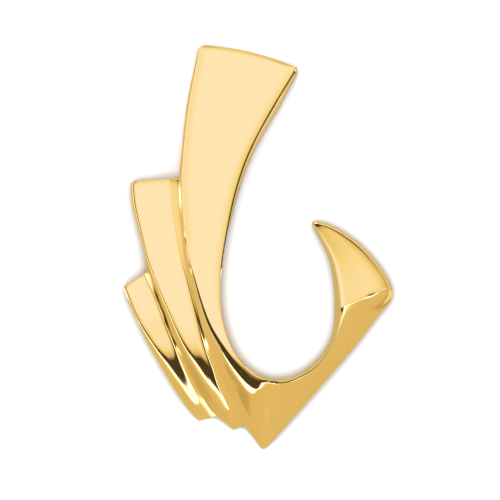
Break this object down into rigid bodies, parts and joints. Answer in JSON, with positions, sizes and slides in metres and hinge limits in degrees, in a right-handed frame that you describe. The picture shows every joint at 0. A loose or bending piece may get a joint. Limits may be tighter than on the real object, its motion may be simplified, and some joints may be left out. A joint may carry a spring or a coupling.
{
  "type": "slide pendant",
  "caption": "Polished gold slide pendant: fanned blades sweep down into a pointed hook, with a flat strap behind that rides on a chain.",
  "frame": {"origin": "centre of the bounding box's underside, which is the back that the pendant lies on", "axes": "+Y towards the top of the long blade, +X towards the hook, +Z out of the face towards the viewer"},
  "size_m": [0.0269, 0.0403, 0.0042],
  "materials": {
    "polished_gold": "polished yellow gold"
  },
  "bodies": {
    "root": {"slide_pendant": "polished_gold"}
  },
  "joints": []
}
